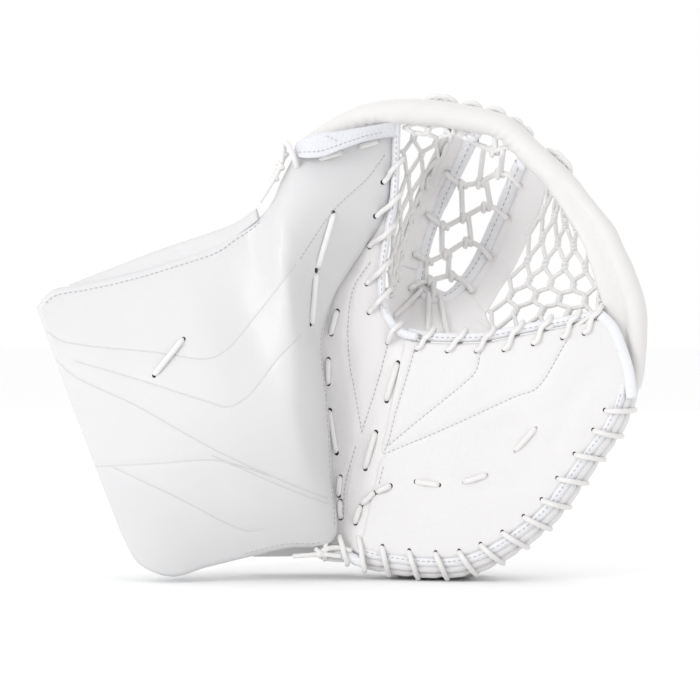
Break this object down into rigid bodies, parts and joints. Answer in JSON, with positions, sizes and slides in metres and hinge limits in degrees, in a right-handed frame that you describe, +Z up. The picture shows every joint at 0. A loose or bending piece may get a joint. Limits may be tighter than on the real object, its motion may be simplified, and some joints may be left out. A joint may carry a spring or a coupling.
{
  "type": "ice hockey goalie catch glove",
  "caption": "Ice hockey goalie catch glove with a one-piece cuff and thumb board, laced palm, netted pocket with a double T strap and a padded roll, folding about its break.",
  "frame": {"origin": "middle of the glove's box at floor level, the free lace ends left out", "axes": "+X from the cuff towards the finger tips (the longest side), +Y from the palm face through the pocket to the back of the hand (the shortest side), +Z up as the glove stands"},
  "size_m": [0.4052, 0.1414, 0.3186],
  "materials": {
    "moulded_board": "smooth white synthetic leather over moulded foam",
    "white_leather": "smooth white leather",
    "roll_leather": "soft warm white leather",
    "knit_fabric": "white knit and woven binding",
    "lace_cord": "waxed white lace",
    "nylon_web": "woven nylon",
    "ring_plastic": "moulded plastic"
  },
  "bodies": {
    "thumb_side": {"cuff_thumb_board": "moulded_board", "cuff_edge_band": "knit_fabric", "cuff_liner": "knit_fabric", "thumb_side_gusset": "knit_fabric", "thumb_back_pad": "white_leather", "thumb_stall": "knit_fabric", "thumb_tip_wrap": "knit_fabric", "thumb_inner_binding": "knit_fabric", "thumb_edge_lace": "lace_cord", "thumb_face_lace": "lace_cord", "thumb_tip_lace": "lace_cord", "thumb_lace_tail": "lace_cord", "cuff_lace": "lace_cord", "pocket_net_thumb": "lace_cord", "t_strap_thumb": "white_leather", "roll_thumb": "roll_leather", "backhand_pad": "nylon_web", "wrist_strap": "nylon_web", "wrist_strap_tab": "nylon_web", "break_gusset": "white_leather", "break_lace": "lace_cord", "palm_side_lace": "lace_cord", "heel_lace": "lace_cord", "heel_lace_tail": "lace_cord", "pocket_net_centre": "lace_cord", "pocket_base": "white_leather", "roll_flex": "roll_leather", "back_gusset": "knit_fabric"},
    "finger_side": {"palm_face": "white_leather", "palm_liner": "knit_fabric", "palm_top_binding": "knit_fabric", "palm_top_lace": "lace_cord", "perimeter_binding": "knit_fabric", "perimeter_welt_front": "white_leather", "perimeter_welt_back": "white_leather", "perimeter_lace": "lace_cord", "finger_top_panel": "knit_fabric", "finger_back_shell": "white_leather", "finger_back_pad_index": "white_leather", "finger_back_pad_middle": "white_leather", "finger_back_pad_little": "white_leather", "finger_divider_index": "knit_fabric", "finger_divider_middle": "knit_fabric", "finger_divider_little": "knit_fabric", "pocket_net_palm": "lace_cord", "t_strap_finger": "white_leather", "roll_finger": "roll_leather", "finger_tip_wing": "roll_leather"},
    "strap_flap": {"wrist_strap_flap": "nylon_web"},
    "strap_ring": {"wrist_strap_ring": "ring_plastic"}
  },
  "joints": [
    {"name": "glove_close", "type": "hinge", "parent": "thumb_side", "child": "finger_side", "pos_m": [-0.00562, -0.0187, 0.024], "axis": [-0.2792, 0, -0.9602], "range_deg": [-10, 60], "stiffness_Nm_per_rad": 1, "deforming": ["break_gusset", "break_lace", "palm_side_lace", "heel_lace", "pocket_net_centre", "pocket_base", "roll_flex", "back_gusset"]},
    {"name": "strap_flap_peel", "type": "hinge", "parent": "thumb_side", "child": "strap_flap", "pos_m": [-0.11362, 0.0398, 0.067], "axis": [1, 0, 0], "range_deg": [0, 130]},
    {"name": "strap_ring_swing", "type": "hinge", "parent": "thumb_side", "child": "strap_ring", "pos_m": [-0.11362, 0.0323, 0.066], "axis": [1, 0, 0], "range_deg": [-20, 20]}
  ]
}
